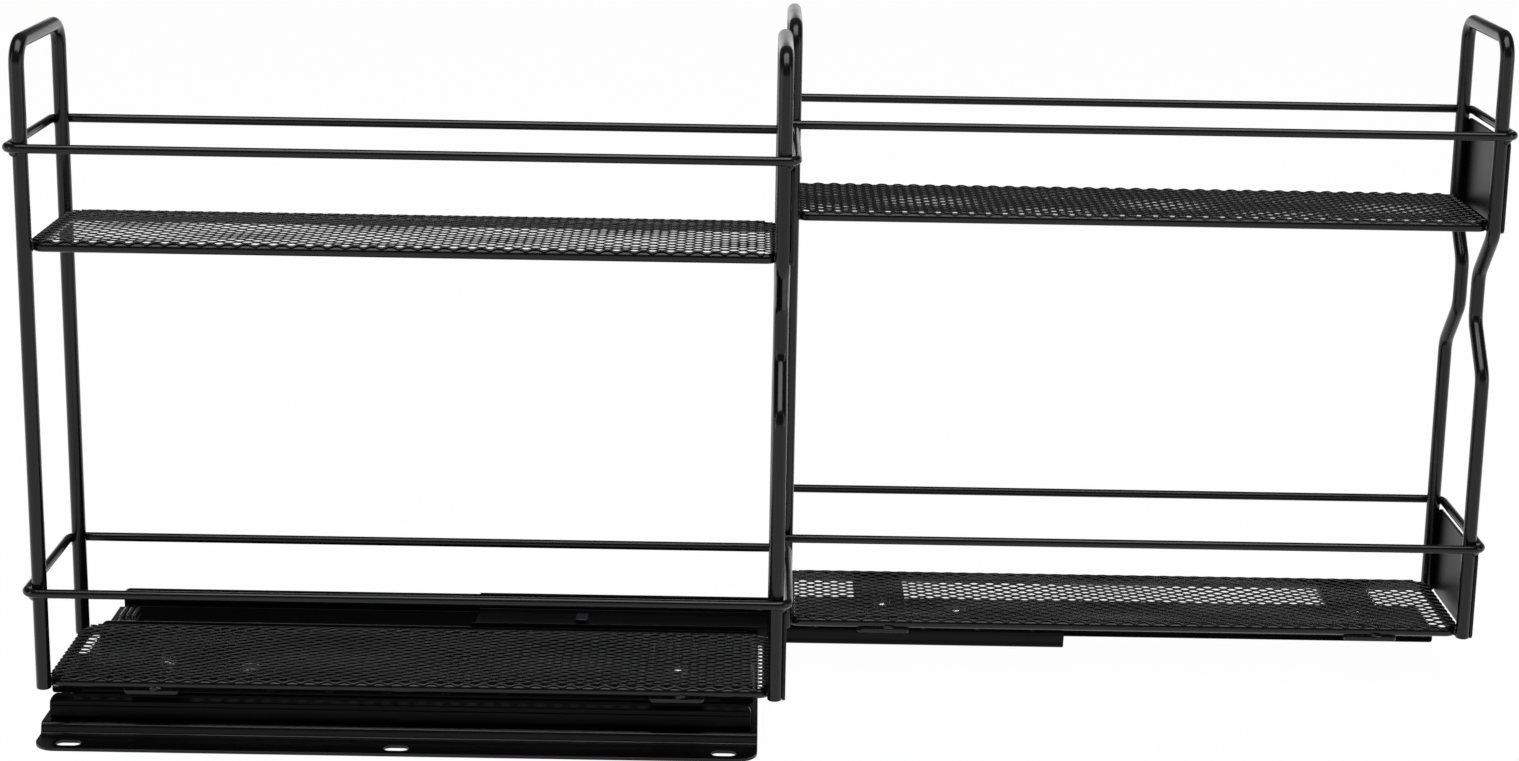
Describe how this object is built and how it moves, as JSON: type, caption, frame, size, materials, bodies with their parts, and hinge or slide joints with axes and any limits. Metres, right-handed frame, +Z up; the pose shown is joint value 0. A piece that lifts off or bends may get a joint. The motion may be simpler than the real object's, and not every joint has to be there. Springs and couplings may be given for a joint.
{
  "type": "pull-out spice rack",
  "caption": "Pull-out spice rack: tall wire racks with expanded-metal shelves and guard rails, each on a flat ball-bearing slide over a screw-down base, pulled by a pinched front hoop.",
  "frame": {"origin": "underside of the near flange of the base plate, at mid-length, on the metal behind its middle screw slot", "axes": "+X the way a rack pulls out, +Y from the near lane to the far lane, +Z up from the cabinet floor"},
  "size_m": [0.5356, 0.164, 0.252],
  "materials": {
    "powder_coat": "semi-gloss black powder coat",
    "slide_paint": "black coated slide steel",
    "cage_steel": "dark steel strip and balls",
    "screw_steel": "black zinc",
    "bumper_plastic": "light grey moulded plastic"
  },
  "bodies": {
    "base": {"base_plate": "powder_coat", "near_slide_outer": "slide_paint", "near_rear_bumper": "bumper_plastic", "near_rear_base_rivet": "screw_steel", "near_front_base_rivet": "screw_steel", "far_slide_outer": "slide_paint", "far_rear_bumper": "bumper_plastic", "far_rear_base_rivet": "screw_steel", "far_front_base_rivet": "screw_steel"},
    "near_rack": {"near_slide_inner": "slide_paint", "near_stop_rivet": "screw_steel", "near_rear_hoop": "powder_coat", "near_front_hoop": "powder_coat", "near_lower_rail": "powder_coat", "near_lower_rim": "powder_coat", "near_lower_mesh": "powder_coat", "near_lower_end_plate": "powder_coat", "near_upper_rail": "powder_coat", "near_upper_rim": "powder_coat", "near_upper_mesh": "powder_coat", "near_upper_end_plate": "powder_coat", "near_rear_crossbar": "powder_coat", "near_rear_shelf_screw": "screw_steel", "near_front_crossbar": "powder_coat", "near_front_shelf_screw": "screw_steel"},
    "near_middle": {"near_slide_middle": "slide_paint"},
    "near_outer_cage": {"near_outer_ball_cage": "cage_steel"},
    "near_inner_cage": {"near_inner_ball_cage": "cage_steel"},
    "far_rack": {"far_slide_inner": "slide_paint", "far_stop_rivet": "screw_steel", "far_rear_hoop": "powder_coat", "far_front_hoop": "powder_coat", "far_lower_rail": "powder_coat", "far_lower_rim": "powder_coat", "far_lower_mesh": "powder_coat", "far_lower_end_plate": "powder_coat", "far_upper_rail": "powder_coat", "far_upper_rim": "powder_coat", "far_upper_mesh": "powder_coat", "far_upper_end_plate": "powder_coat", "far_rear_crossbar": "powder_coat", "far_rear_shelf_screw": "screw_steel", "far_front_crossbar": "powder_coat", "far_front_shelf_screw": "screw_steel"},
    "far_middle": {"far_slide_middle": "slide_paint"},
    "far_outer_cage": {"far_outer_ball_cage": "cage_steel"},
    "far_inner_cage": {"far_inner_ball_cage": "cage_steel"}
  },
  "joints": [
    {"name": "near_rack_slide", "type": "slide", "parent": "base", "child": "near_rack", "axis": [1, 0, 0], "range_m": [0, 0.264]},
    {"name": "near_middle_slide", "type": "slide", "parent": "base", "child": "near_middle", "axis": [1, 0, 0], "range_m": [0, 0.132]},
    {"name": "near_outer_cage_slide", "type": "slide", "parent": "base", "child": "near_outer_cage", "axis": [1, 0, 0], "range_m": [0, 0.066]},
    {"name": "near_inner_cage_slide", "type": "slide", "parent": "base", "child": "near_inner_cage", "axis": [1, 0, 0], "range_m": [0, 0.198]},
    {"name": "far_rack_slide", "type": "slide", "parent": "base", "child": "far_rack", "axis": [1, 0, 0], "range_m": [-0.264, 0]},
    {"name": "far_middle_slide", "type": "slide", "parent": "base", "child": "far_middle", "axis": [1, 0, 0], "range_m": [-0.132, 0]},
    {"name": "far_outer_cage_slide", "type": "slide", "parent": "base", "child": "far_outer_cage", "axis": [1, 0, 0], "range_m": [-0.066, 0]},
    {"name": "far_inner_cage_slide", "type": "slide", "parent": "base", "child": "far_inner_cage", "axis": [1, 0, 0], "range_m": [-0.198, 0]}
  ],
  "couplings": [
    {"joint": "near_middle_slide", "follows": "near_rack_slide", "ratio": 0.5},
    {"joint": "near_outer_cage_slide", "follows": "near_rack_slide", "ratio": 0.25},
    {"joint": "near_inner_cage_slide", "follows": "near_rack_slide", "ratio": 0.75},
    {"joint": "far_middle_slide", "follows": "far_rack_slide", "ratio": 0.5},
    {"joint": "far_outer_cage_slide", "follows": "far_rack_slide", "ratio": 0.25},
    {"joint": "far_inner_cage_slide", "follows": "far_rack_slide", "ratio": 0.75}
  ]
}
